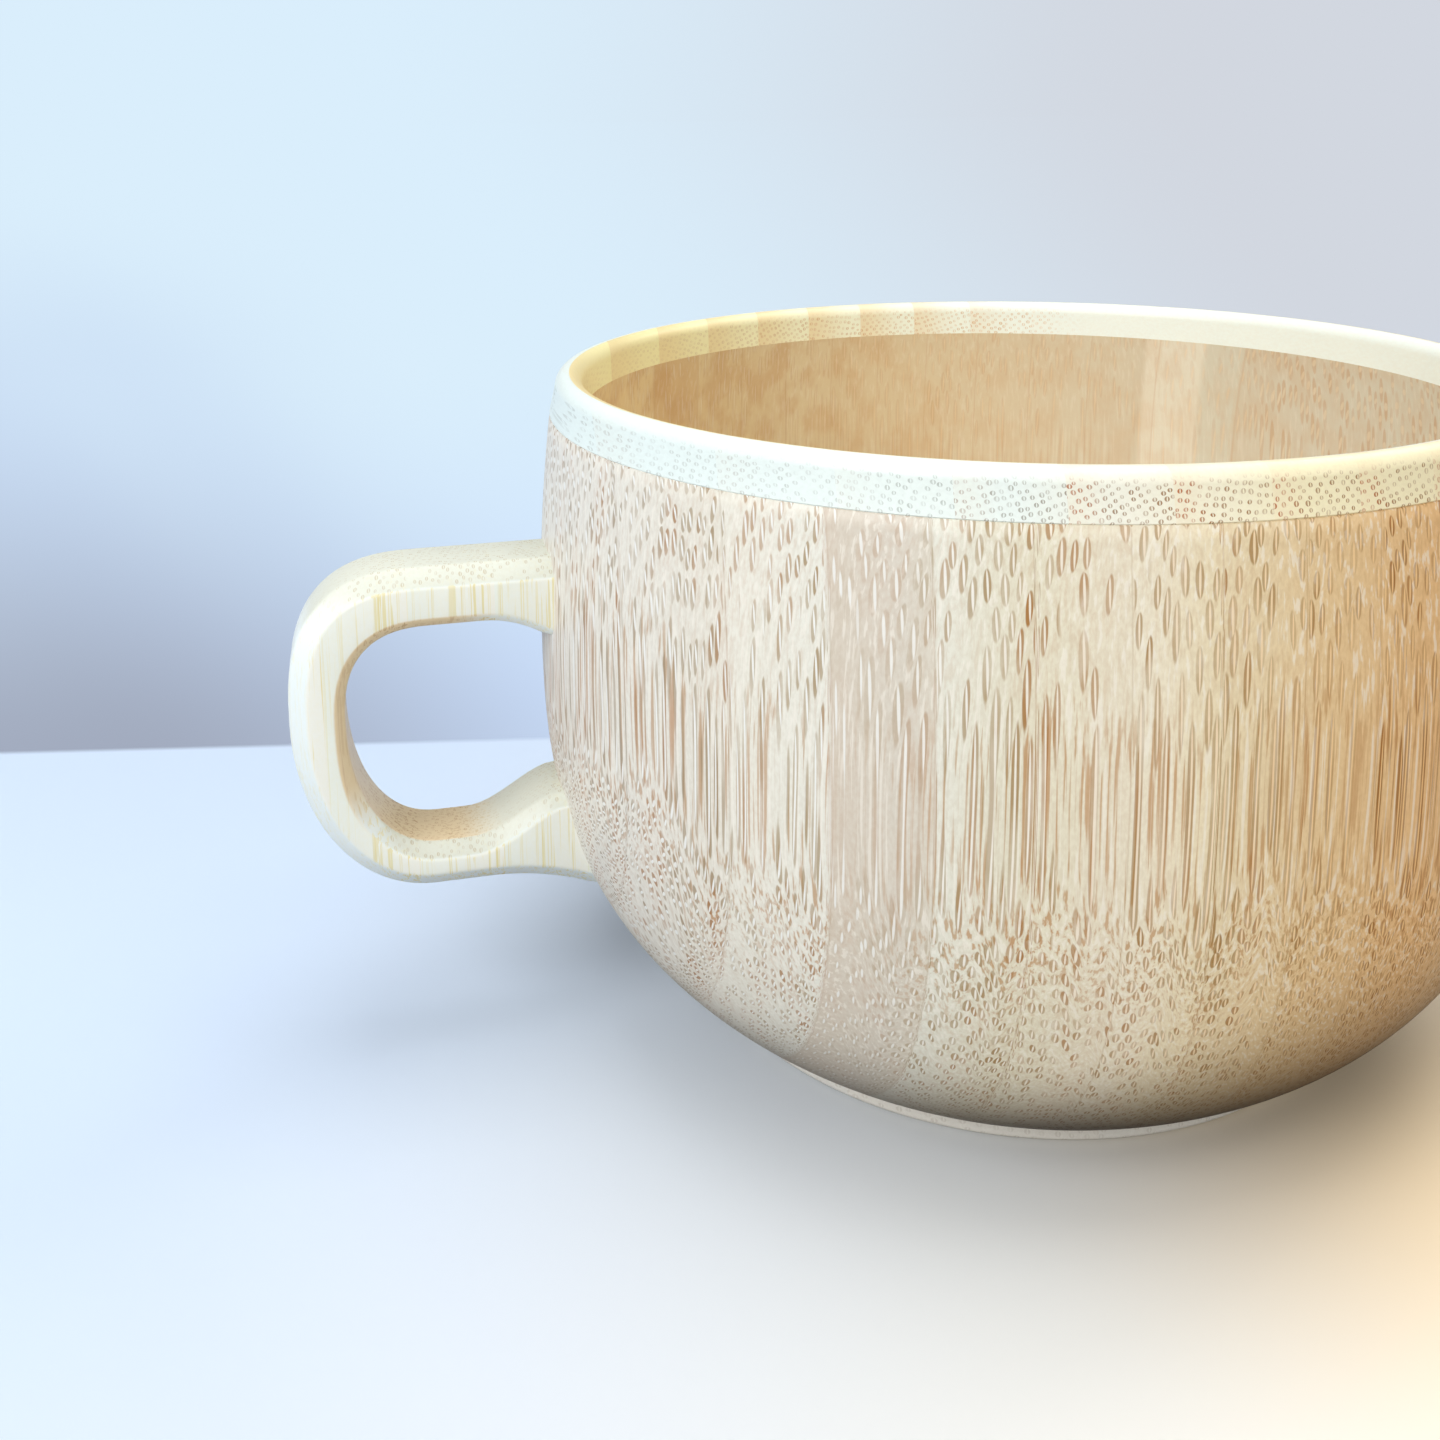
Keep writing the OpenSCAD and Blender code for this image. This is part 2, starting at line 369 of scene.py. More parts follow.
# A bundle and its slit: where their edges fade, as shares of the radius, and the slit's own shape
BUNDLE_EDGE = (1.02, 0.82)
SLIT_EDGE = (1.0, 0.6)
SLIT_NARROWED = 3.3
SLIT_SHIFTED = -0.25
SLIT_SHORTENED = 0.95
GLUE_EDGE_MM = (0.11, 0.03)


def bamboo_sockets(tree):
    """Gives the bamboo group its inputs and outputs."""
    wanted = {
        "INPUT": (
            "Across", "First glue plane", "Strip width", "Bundle gap", "Bundle size", "Crowd", "Squeeze",
        ),
        "OUTPUT": ("Ring", "Slit", "Thread", "Flesh", "Tone", "Glue", "Height"),
    }
    tree.interface.new_socket("Vector", in_out="INPUT", socket_type="NodeSocketVector")
    for way, names in wanted.items():
        for name in names:
            tree.interface.new_socket(name, in_out=way, socket_type="NodeSocketFloat")
    return tree.nodes.new("NodeGroupInput").outputs, tree.nodes.new("NodeGroupOutput").inputs


def wandered(tree, given, place, slide):
    """Where a point belongs in straight bamboo: after a lean, and after a lean and a wobble."""
    from_middle = product(tree, calc(tree, "SUBTRACT", place, 0.5), given["Strip width"])
    closer = product(tree, from_middle, given["Squeeze"])
    closer = put(tree, "ShaderNodeCombineXYZ", {"X": closer}).outputs[0]
    grown = vector_calc(tree, "ADD", given["Vector"], closer)
    drift = noise(tree, grown, 2, DRIFT_RATES)["Color"]
    drifted = vector_calc(tree, "MULTIPLY_ADD", drift, DRIFT_MM, slide)
    wood_at = vector_calc(tree, "ADD", grown, drifted)
    wobble = noise(tree, wood_at, 1, WOBBLE_RATES)["Color"]
    return wood_at, vector_calc(tree, "MULTIPLY_ADD", wobble, WOBBLE_MM, wood_at)


def nearest_bundle(tree, given, wobbled, slant):
    """The nearest bundle: how far off it is both ways in radii, whether it is kept, and its odds."""
    rows = put(tree, "ShaderNodeVectorRotate", {"Vector": wobbled, "Angle": slant}, rotation_type="Z_AXIS")
    cells = put(
        tree, "ShaderNodeTexVoronoi",
        {
            "Vector": rows.outputs[0], "Scale": calc(tree, "DIVIDE", 1, given["Bundle gap"]),
            "Randomness": 0.4,
        },
        voronoi_dimensions="2D",
    ).outputs
    middle = put(
        tree, "ShaderNodeVectorRotate", {"Vector": cells["Position"], "Angle": slant},
        rotation_type="Z_AXIS", invert=True,
    ).outputs[0]
    odds = put(tree, "ShaderNodeSeparateColor", {"Color": cells["Color"]}).outputs
    kept = band(tree, calc(tree, "SUBTRACT", given["Crowd"], odds["Red"]), -0.02, 0.02)
    size = calc(tree, "MULTIPLY_ADD", odds["Green"], 0.35, 0.82)
    radius = product(tree, given["Bundle size"], given["Bundle gap"], size)
    away = parted(tree, vector_calc(tree, "SUBTRACT", wobbled, middle))
    side = calc(tree, "DIVIDE", away["X"], radius)
    along = calc(tree, "DIVIDE", away["Y"], radius)
    return side, along, kept, odds


def bamboo_group():
    """Bamboo cut in any direction: fibre bundles that run along Z, in strips glued across X, in mm."""
    tree = bpy.data.node_groups.new("bamboo_fibres", "ShaderNodeTree")
    given, out = bamboo_sockets(tree)
    number, place = strip_place(tree, given["Across"], given["First glue plane"], given["Strip width"])
    chance = put(tree, "ShaderNodeTexWhiteNoise", {"W": number}, noise_dimensions="1D").outputs
    slide = vector_calc(tree, "MULTIPLY", chance["Color"], STRIP_SLIDE_MM)
    wood_at, wobbled = wandered(tree, given, place, slide)

    # Bundles stand in slanting rows, and few or many of them are kept
    slant = calc(tree, "MULTIPLY_ADD", chance["Value"], 1.1, 0.2)
    side, along, kept, odds = nearest_bundle(tree, given, wobbled, slant)

    # Each bundle is two brown sheaths side by side across the strip, with a pale slit between them
    whole = product(tree, band(tree, distance(tree, side, along), *BUNDLE_EDGE), kept)
    slit_side = calc(tree, "MULTIPLY_ADD", side, SLIT_NARROWED, SLIT_SHIFTED)
    slit_along = product(tree, along, SLIT_SHORTENED)
    slit = product(tree, band(tree, distance(tree, slit_side, slit_along), *SLIT_EDGE), kept)
    ring = calc(tree, "SUBTRACT", whole, slit, clamp=True)
    fade = band(tree, noise(tree, wood_at, 2, FADE_RATES)["Fac"], 0.36, 0.58, 0.5, 1)
    ring = product(tree, ring, fade, calc(tree, "MULTIPLY_ADD", odds["Blue"], 0.35, 0.65))

    # Thin fibres between the bundles, some darker and some paler, and the speckled flesh round them
    flesh = noise(tree, wood_at, 3, FLESH_RATES)["Fac"]
    to_glue = calc(tree, "MINIMUM", place, flipped(tree, place))
    results = {
        "Ring": ring,
        "Slit": slit,
        "Thread": noise(tree, wood_at, 3, THREAD_RATES)["Fac"],
        "Flesh": band(tree, flesh, 0.3, 0.7),
        "Tone": chance["Value"],
        "Glue": band(tree, product(tree, to_glue, given["Strip width"]), *GLUE_EDGE_MM),
        "Height": calc(tree, "MULTIPLY_ADD", slit, 0.6, product(tree, ring, -0.8)),
    }
    for name, value in results.items():
        tree.links.new(value, out[name])
    return tree


bamboo = bamboo_group()


def empty_material(name):
    """A material without nodes, and its node tree."""
    material = bpy.data.materials.new(name)
    material.use_nodes = True
    material.node_tree.nodes.clear()
    return material, material.node_tree


def start_material(name):
    """An empty material, its node tree and the object's own place in mm."""
    material, tree = empty_material(name)
    place = put(tree, "ShaderNodeTexCoord").outputs["Object"]
    in_mm = put(tree, "ShaderNodeVectorMath", {0: place, "Scale": 1 / mm}, operation="SCALE").outputs[0]
    return material, tree, in_mm


def wood_in(tree, vector, x, first, width, gap, size, crowd, squeeze=0.0):
    """Places the bamboo group with one piece's own values."""
    values = {
        "Vector": vector, "Across": x, "First glue plane": first, "Strip width": width,
        "Bundle gap": gap, "Bundle size": size, "Crowd": crowd, "Squeeze": squeeze,
    }
    return put(tree, "ShaderNodeGroup", values, node_tree=bamboo).outputs


def own_normal(tree):
    """The direction that the surface faces, in the object's own axes."""
    return put(tree, "ShaderNodeTexCoord").outputs["Normal"]


def facing(tree, in_mm, middle, keep):
    """1 on faces that look towards a middle, 0 elsewhere; keep names the directions that count."""
    inward = vector_calc(tree, "MULTIPLY", vector_calc(tree, "SUBTRACT", middle, in_mm), keep)
    dot = put(tree, "ShaderNodeVectorMath", {0: inward, 1: own_normal(tree)}, operation="DOT_PRODUCT")
    return band(tree, dot.outputs["Value"], 0.5, 4)


def facing_axis(tree, in_mm):
    """1 on the faces inside the bowl or the rim ring, which look towards the cup's axis."""
    return facing(tree, in_mm, (0, 0, 0), (1, 1, 0))


def upward(tree):
    """1 on faces that look up, which show end grain, and 0 on upright faces."""
    return band(tree, parted(tree, own_normal(tree))["Z"], 0.35, 0.65)


# Each finish, as (roughness of the plain wood, roughness of its grain, depth of the grain)
BODY_FINISH = (0.36, 0.5, 0.03 * mm)
RIM_FINISH = (0.32, 0.42, 0.015 * mm)
HANDLE_FINISH = (0.34, 0.44, 0.015 * mm)
FOOT_FINISH = (0.4, 0.5, 0.015 * mm)
DOWEL_FINISH = (0.45, 0.6, 0.02 * mm)
RELIEF = 0.2
SHINE = 0.32


def finish_wood(tree, colour, height, grain, finish):
    """A satin wood surface with its grain in relief."""
    plain, grained, depth = finish
    bump = put(tree, "ShaderNodeBump", {"Strength": RELIEF, "Distance": depth, "Height": height})
    rough = band(tree, grain, 0, 1, plain, grained)
    surface = put(tree, "ShaderNodeBsdfPrincipled", {
        "Base Color": colour, "Roughness": rough, "Normal": bump.outputs["Normal"],
        "Specular IOR Level": SHINE,
    })
    put(tree, "ShaderNodeOutputMaterial", {"Surface": surface.outputs["BSDF"]})


def turned_to_y(tree, vector):
    """Swaps the axes so that fibres run along Y."""
    axes = parted(tree, vector)
    return put(tree, "ShaderNodeCombineXYZ", {"X": axes["X"], "Y": axes["Z"], "Z": axes["Y"]}).outputs[0]


# Grain of each body strip, handle side first, as (left edge, right edge): the share of bundles kept,
# half their spacing in mm, how bold they are and how brown the wood round them is
BODY_GRAIN = [
    ((0.85, 0.38, 0.75, 0.10), (0.95, 0.38, 0.85, 0.05)),
    ((0.70, 0.39, 0.75, 0.06), (1.05, 0.39, 1.00, 0.10)),
    ((0.45, 0.40, 0.65, 0.00), (1.05, 0.41, 0.95, 0.00)),
    ((0.75, 0.44, 0.10, 0.42), (0.85, 0.46, 0.65, 0.30)),
    ((0.60, 0.50, 0.80, 0.00), (1.10, 0.49, 1.00, 0.06)),
    ((1.05, 0.52, 0.95, 0.00), (0.35, 0.54, 0.70, 0.10)),
    ((1.00, 0.54, 0.90, 0.00), (0.65, 0.52, 0.75, 0.06)),
    ((1.10, 0.50, 1.00, 0.14), (0.55, 0.50, 0.60, 0.10)),
    ((1.05, 0.46, 0.85, 0.10), (0.60, 0.46, 0.45, 0.10)),
    ((1.10, 0.44, 0.95, 0.06), (0.75, 0.44, 0.85, 0.06)),
    ((1.00, 0.42, 0.90, 0.06), (0.70, 0.42, 0.70, 0.12)),
    ((1.05, 0.44, 0.95, 0.12), (0.60, 0.44, 0.70, 0.06)),
    ((0.95, 0.44, 0.85, 0.10), (0.55, 0.44, 0.60, 0.14)),
    ((0.60, 0.46, 0.45, 0.00), (0.80, 0.46, 0.60, 0.00)),
    ((1.05, 0.42, 0.95, 0.16), (0.80, 0.42, 0.80, 0.10)),
    ((0.85, 0.40, 0.85, 0.12), (0.90, 0.40, 0.90, 0.10)),
]
# Partly the strips' own tones and partly painted light: paler and cooler on the handle's side of the cup,
# where light falls from the left, and warmer to the right; these are (share of the width, screen colour)
BODY_PALE = [
    (0.02, (244, 243, 235)), (0.12, (242, 239, 226)), (0.22, (238, 239, 230)), (0.30, (236, 231, 208)),
    (0.38, (244, 236, 214)), (0.44, (244, 230, 194)), (0.52, (240, 211, 162)), (0.62, (240, 198, 142)),
    (1.00, (236, 200, 150)),
]
BODY_BROWN = [
    (0.02, (164, 144, 120)), (0.14, (171, 146, 108)), (0.24, (165, 138, 94)), (0.34, (167, 128, 72)),
    (0.46, (163, 120, 56)), (0.62, (166, 108, 46)), (1.00, (160, 100, 42)),
]
RIM_PALE = [
    (0.00, (238, 251, 249)), (0.29, (240, 249, 244)), (0.37, (248, 246, 230)), (0.50, (250, 241, 204)),
    (1.00, (252, 238, 198)),
]

# The other screen colours and values of the body
BODY_TINT = {
    "toned": (196, 168, 140), "redder": (172, 112, 44), "thread": (252, 247, 236), "amber": (206, 146, 84),
    "slit left": (250, 252, 250), "slit right": (246, 208, 150), "shade": (44, 28, 14),
    "gold left": (240, 208, 140), "gold right": (216, 220, 208), "gold toned": (214, 168, 110),
    "gold palest": (252, 250, 234), "blotch": (206, 152, 86), "sheath inside": (206, 160, 106),
}
BODY_BUNDLE_SIZE = 0.37
REDDENING_RATES = (0.35, 0.35, 0.06)
BLOTCH_RATES = (0.3, 0.3, 0.24)
WAVE_RATES = (0.16, 0.03, 0.0)
WAVE_MM = 24
palest_x = body_glue[12] + body_pitch * 0.2

# Heights in mm on the body where its wood or its painted shade changes, as one place or as (from, to)
LEAN_ABOVE = 43
LEAN_BELOW = 31
SQUEEZED = (34, 8)
INSIDE_FLOOR = (30, 20)
STREAKS_START = (20, 30)
STREAKS_END = (52, 46)
BUNDLES_CLEAR = (0, 18)
SHADE_FROM = 3

# How far the painted shade reaches up, as (left, right), and how fast the fibres lean
SHADE_REACH = (15, 27)
LEAN_ABOVE_RATE = 0.0048
LEAN_BELOW_RATE = 0.55
LEAN_BELOW_SOFT = 3
LEAN_SIDE_POWER = 4


def waved_height(tree, in_mm, z):
    """The height, moved up and down from place to place, because the fibres wave."""
    wave = noise(tree, in_mm, 2, WAVE_RATES)["Fac"]
    return calc(tree, "ADD", z, calc(tree, "MULTIPLY_ADD", wave, WAVE_MM, -WAVE_MM / 2))


def leaned(tree, in_mm):
    """Draws the wood in towards the axis near the neck and the foot, where turning cuts the fibres short."""
    axes = parted(tree, in_mm)
    height = waved_height(tree, in_mm, axes["Z"])
    above = calc(tree, "MAXIMUM", calc(tree, "SUBTRACT", height, LEAN_ABOVE), 0)
    high = product(tree, product(tree, above, above), LEAN_ABOVE_RATE)
    low = past(tree, product(tree, height, -1), -LEAN_BELOW, LEAN_BELOW_SOFT, LEAN_BELOW_RATE)
    drawn = product(tree, calc(tree, "ADD", high, low), -mm / belly_r)
    side = calc(tree, "ABSOLUTE", product(tree, axes["X"], mm / belly_r))
    side = calc(tree, "POWER", side, LEAN_SIDE_POWER)
    scale = put(tree, "ShaderNodeCombineXYZ", {
        "X": calc(tree, "MULTIPLY_ADD", drawn, side, 1), "Y": calc(tree, "ADD", drawn, 1), "Z": 1,
    }).outputs[0]
    return vector_calc(tree, "MULTIPLY", in_mm, scale)


def body_inside(tree, in_mm, x, share, toned):
    """The bowl's inside: golden and blotched, with one paler strip; the gold, deeper on the left, is partly
    painted warm light reflected inside the bowl.
    """
    golden = blend(tree, share, BODY_TINT["gold left"], BODY_TINT["gold right"])
    golden = blend(tree, toned, golden, BODY_TINT["gold toned"])
    off_palest = calc(tree, "ABSOLUTE", calc(tree, "SUBTRACT", x, palest_x / mm))
    golden = blend(tree, band(tree, off_palest, 3, 2.2, 0, 0.5), golden, BODY_TINT["gold palest"])
    most = band(tree, share, 0.3, 0.7, 0.4, 0.16)
    blotched = band(tree, noise(tree, in_mm, 3, BLOTCH_RATES)["Fac"], 0.4, 0.66, 0, most)
    return blend(tree, blotched, golden, BODY_TINT["blotch"])


def low_shade(tree, axes, share):
    """How deep the painted shade above the foot is: most at the front right, less at the back."""
    reach_up = band(tree, share, 0.3, 0.62, *SHADE_REACH)
    climbed = calc(tree, "DIVIDE", calc(tree, "SUBTRACT", axes["Z"], SHADE_FROM), reach_up)
    to_right = band(tree, share, 0.18, 0.42, 0.55, 0.96)
    to_back = band(tree, axes["Y"], -15, 20, 1, 0.4)
    return product(tree, band(tree, climbed, 0, 1, 1, 0), to_right, to_back)


def brown_bamboo():
    """The body's heat-darkened bamboo, with upright fibres."""
    material, tree, in_mm = start_material("brown_bamboo")
    axes = parted(tree, in_mm)
    share = band_linear(tree, axes["X"], -belly_r / mm, belly_r / mm)
    kept, half_gap, bold, toned = strip_values(tree, share, -belly_r, belly_r, body_glue, BODY_GRAIN)
    squeeze = band(tree, axes["Z"], *SQUEEZED, 0, 0.3)
    wood = wood_in(
        tree, leaned(tree, in_mm), axes["X"], body_glue[0] / mm, body_pitch / mm,
        product(tree, half_gap, 2), BODY_BUNDLE_SIZE, kept, squeeze,
    )

    # The inside has colours of its own, partly painted warm light reflected inside the bowl, and its bundles
    # are faint
    bottom = product(tree, upward(tree), band(tree, axes["Z"], *INSIDE_FLOOR))
    inside = calc(tree, "MAXIMUM", facing_axis(tree, in_mm), bottom)
    outside = calc(tree, "MULTIPLY_ADD", inside, -0.7, 1)
    pale = blend(tree, toned, steps(tree, share, BODY_PALE), BODY_TINT["toned"])
    pale = blend(tree, product(tree, inside, 0.92), pale, body_inside(tree, in_mm, axes["X"], share, toned))
    redder = band(tree, noise(tree, in_mm, 1, REDDENING_RATES)["Fac"], 0.46, 0.6, 0, 0.7)
    brown = blend(tree, redder, steps(tree, share, BODY_BROWN), BODY_TINT["redder"])
    brown = blend(tree, product(tree, inside, 0.85), brown, BODY_TINT["sheath inside"])
    colour = blend(tree, product(tree, wood["Flesh"], outside, 0.14), pale, brown)

    # Fibres cut lengthwise, half way up, show as long lines
    height = waved_height(tree, in_mm, axes["Z"])
    streaks = product(
        tree, band(tree, height, *STREAKS_START, 0.2, 1), band(tree, height, *STREAKS_END, 0.2, 1),
    )
    dark_thread = product(tree, streaks, bold, outside, band(tree, wood["Thread"], 0.52, 0.64))
    pale_thread = product(tree, band(tree, wood["Thread"], 0.46, 0.36), outside)
    colour = blend(tree, product(tree, pale_thread, 0.45), colour, BODY_TINT["thread"])
    amber = blend(tree, 0.5, brown, BODY_TINT["amber"])
    colour = blend(tree, product(tree, dark_thread, 0.8), colour, amber)

    # The bundles fade near the foot, and show more at the inside's far end
    clear = calc(tree, "MAXIMUM", outside, band(tree, share, 0.88, 0.93, 0, 0.6))
    ring = product(tree, wood["Ring"], clear, band(tree, axes["Z"], *BUNDLES_CLEAR, 0.5, 1))
    colour = blend(tree, product(tree, ring, bold), colour, brown)
    white = blend(tree, band(tree, share, 0.15, 0.6), BODY_TINT["slit left"], BODY_TINT["slit right"])
    colour = blend(tree, product(tree, wood["Slit"], outside, 0.7), colour, white)
    colour = blend(tree, product(tree, wood["Glue"], 0.2), colour, brown)
    # Painted shade: the body darkens towards the foot, most at the front right
    shaded = product(tree, low_shade(tree, axes, share), flipped(tree, inside))
    colour = blend(tree, shaded, colour, BODY_TINT["shade"])
    finish_wood(tree, colour, wood["Height"], wood["Ring"], BODY_FINISH)
    return material


RIM_TINT = {
    "left edge": (244, 226, 184), "dots left": (146, 152, 144), "dots right": (160, 116, 68),
    "dots edge": (184, 100, 40), "dots inside": (228, 190, 130),
    "gold left": (255, 244, 176), "gold right": (244, 255, 250), "gold patch": (234, 196, 128),
}
RIM_BUNDLE_SIZE = 0.3


def rim_bamboo():
    """The rim ring's pale bamboo, with fibres that run across the handle."""
    material, tree, in_mm = start_material("rim_bamboo")
    axes = parted(tree, in_mm)
    share = band_linear(tree, axes["X"], -neck_r / mm, neck_r / mm)
    first = rim_glue[0] / mm
    width = rim_pitch / mm
    number, place = strip_place(tree, axes["X"], first, width)
    gap = calc(tree, "MULTIPLY_ADD", band_linear(tree, number, 1, 6), 0.08, 0.62)
    crowd = calc(tree, "MULTIPLY_ADD", place, -0.4, band(tree, share, 0.22, 0.44, 1.15, 1.9))
    wood = wood_in(tree, turned_to_y(tree, in_mm), axes["X"], first, width, gap, RIM_BUNDLE_SIZE, crowd)
    inside = facing_axis(tree, in_mm)

    # The left edge of each strip is more orange
    left_edge = product(tree, band(tree, place, 0.45, 0.05), band(tree, share, 0.2, 0.36, 0.2, 1))
    pale = blend(tree, product(tree, left_edge, 0.25), steps(tree, share, RIM_PALE), RIM_TINT["left edge"])
    dots = blend(tree, band(tree, share, 0.24, 0.42), RIM_TINT["dots left"], RIM_TINT["dots right"])
    dots = blend(tree, left_edge, dots, RIM_TINT["dots edge"])

    # The inside is golden on the left and white on the right, partly painted warm light reflected inside the
    # cup, and its bundles are faint
    golden = blend(tree, band(tree, share, 0.1, 0.75), RIM_TINT["gold left"], RIM_TINT["gold right"])
    patch = product(tree, band(tree, place, 0.9, 0, 0, 0.45), band(tree, share, 0.75, 0.5))
    golden = blend(tree, patch, golden, RIM_TINT["gold patch"])
    pale = blend(tree, product(tree, inside, 0.9), pale, golden)
    dots = blend(tree, product(tree, inside, 0.7), dots, RIM_TINT["dots inside"])
    colour = blend(tree, product(tree, wood["Flesh"], 0.06), pale, dots)

    # The lip's top and the right of the inside show no bundles, and the left only faint ones
    # Leaving the bundles off the lip's top is a painted highlight there
    below_lip = band(tree, axes["Z"], rim_top / mm - 0.5, rim_top / mm - 1.5)
    plain = product(tree, inside, band(tree, share, 0.66, 0.78, 0.2, 1))
    shown = product(tree, band(tree, share, 0.1, 0.4, 0.36, 1), below_lip, flipped(tree, plain))
    colour = blend(tree, product(tree, wood["Ring"], shown), colour, dots)
    finish_wood(tree, colour, wood["Height"], wood["Ring"], RIM_FINISH)
    return material


HANDLE_TINT = {
    "left": (250, 255, 246), "right": (254, 255, 246), "edges": (246, 255, 255), "top": (222, 224, 208),
    "hole": (238, 208, 152), "lines": (238, 224, 150), "lines hole": (204, 170, 122),
    "dots top": (184, 166, 128),
}
HANDLE_BUNDLE_GAP = 0.6
HANDLE_BUNDLE_SIZE = 0.29
PAST_BOWL_MM = (-58, -64)
ABOVE_HOLE_FLOOR_MM = (2, 8)


def in_finger_hole(tree, in_mm, axes, sideways):
    """1 on the faces inside the finger hole, past the bowl, with less of its lower bevels."""
    inside = facing(tree, in_mm, (hole_middle / mm, 0, grip_mid / mm), (1, 0, 1))
    past_bowl = band(tree, axes["X"], *PAST_BOWL_MM)
    level = band(tree, sideways, 0.45, 0.2)
    above = band(tree, axes["Z"], *[hole_low / mm + rise for rise in ABOVE_HOLE_FLOOR_MM])
    return product(tree, inside, past_bowl, calc(tree, "MAXIMUM", level, above))


def handle_bamboo():
    """The handle's pale board, with upright fibres and yellow bundles."""
    material, tree, in_mm = start_material("handle_bamboo")
    axes = parted(tree, in_mm)
    way = parted(tree, own_normal(tree))
    sideways = calc(tree, "ABSOLUTE", way["Y"])
    first = handle_glue[0] / mm
    width = handle_pitch / mm
    place = strip_place(tree, axes["X"], first, width)[1]
    crowd = band_linear(tree, place, -0.7, 1.1)
    wood = wood_in(tree, in_mm, axes["X"], first, width, HANDLE_BUNDLE_GAP, HANDLE_BUNDLE_SIZE, crowd)
    inside = in_finger_hole(tree, in_mm, axes, sideways)
    up = product(tree, upward(tree), flipped(tree, inside))

    pale = blend(tree, place, HANDLE_TINT["left"], HANDLE_TINT["right"])
    # Whiter, cooler bevels and outer faces: a painted highlight
    pale = blend(tree, band(tree, sideways, 0.98, 0.8), pale, HANDLE_TINT["edges"])
    pale = blend(tree, product(tree, up, 0.8), pale, HANDLE_TINT["top"])
    # Painted warm light reflected from the wood inside the finger hole, on its colour and its lines
    pale = blend(tree, product(tree, inside, 0.75), pale, HANDLE_TINT["hole"])
    lines = blend(tree, inside, HANDLE_TINT["lines"], HANDLE_TINT["lines hole"])
    dots = blend(tree, up, lines, HANDLE_TINT["dots top"])
    colour = blend(tree, product(tree, wood["Flesh"], 0.07), pale, dots)

    # Lines show least on the outer face and on the top, where the fibres are cut across
    not_outer = band(tree, way["X"], -0.1, -0.6, 1, 0.25)
    lined = product(
        tree, band(tree, wood["Thread"], 0.56, 0.62), band(tree, place, 0, 1, 0.3, 1), not_outer,
        band(tree, up, 0, 1, 0.75, 0.1),
    )
    colour = blend(tree, lined, colour, lines)
    colour = blend(tree, product(tree, wood["Ring"], not_outer, 0.6), colour, dots)
    finish_wood(tree, colour, wood["Height"], wood["Ring"], HANDLE_FINISH)
    return material


FOOT_PALE = (250, 248, 240)
FOOT_PALE_OTHER = (252, 246, 234)
FOOT_BROWN = (176, 160, 138)
FOOT_BUNDLE_GAP = 1
FOOT_BUNDLE_SIZE = 0.28
FOOT_CROWD = 0.9


def foot_bamboo():
    """The base's pale wide strips, with fibres that run across the handle."""
    material, tree, in_mm = start_material("foot_bamboo")
    wood = wood_in(
        tree, turned_to_y(tree, in_mm), parted(tree, in_mm)["X"], base_glue[0] / mm, base_pitch / mm,
        FOOT_BUNDLE_GAP, FOOT_BUNDLE_SIZE, FOOT_CROWD,
    )
    pale = blend(tree, wood["Tone"], FOOT_PALE, FOOT_PALE_OTHER)
    colour = blend(tree, product(tree, wood["Flesh"], 0.08), pale, FOOT_BROWN)
    colour = blend(tree, product(tree, wood["Ring"], 0.25), colour, FOOT_BROWN)
    finish_wood(tree, colour, wood["Height"], wood["Ring"], FOOT_FINISH)
    return material


DOWEL_PALE = (222, 202, 160)
DOWEL_BROWN = (188, 156, 108)
DOWEL_STREAK_RATES = (0.15, 4, 4)


def dowel_bamboo():
    """The plain bamboo of the dowels, with lengthwise streaks."""
    material, tree, in_mm = start_material("dowel_bamboo")
    streaks = noise(tree, in_mm, 3, DOWEL_STREAK_RATES)["Fac"]
    colour = blend(tree, band(tree, streaks, 0.35, 0.7), DOWEL_PALE, DOWEL_BROWN)
    finish_wood(tree, colour, streaks, streaks, DOWEL_FINISH)
    return material


body_wood = brown_bamboo()
rim_wood = rim_bamboo()
handle_wood = handle_bamboo()
foot_wood = foot_bamboo()
dowel_wood = dowel_bamboo()


def make_body():
    """Turns the bowl and saws it at the glue planes; all but the end strips are in two halves."""
    outside = [foot_h + (neck_h - foot_h) * spaced(i / WALL_STEPS) for i in range(WALL_STEPS + 1)]
    inside = [floor_h + (neck_h - floor_h) * spaced(i / WALL_STEPS) for i in range(WALL_STEPS, -1, -1)]
    neck = outer_radius(neck_h)
    points = [(plug_r, foot_h), (heel_r - groove_w, foot_h)]
    points += [(outer_radius(z), z) for z in outside if foot_h + groove_h < z < neck_h]
    points += [(neck, neck_h - joint_line), (neck - joint_line, neck_h)]
    points += [(inner_radius(z), z) for z in inside]
    points.append((plug_r, floor_h))
    bowl = turned(points)
    halves = {"front": ((0, 0, 0), (0, 1, 0)), "back": ((0, 0, 0), (0, -1, 0))}
    for i, cuts in enumerate(strip_cuts(body_glue), 1):
        pierced = i in (1, 2, BODY_STRIPS - 1, BODY_STRIPS)
        if i in BODY_ENDS:
            parts = {BODY_ENDS[i]: cuts}
        else:
            parts = {body_node(i, side): cuts + [middle] for side, middle in halves.items()}
        for name, planes in parts.items():
            new_piece(f"{name}_wood", sawn(bowl, planes, pierced), body_wood, "brown_bamboo", name)
    bowl.free()


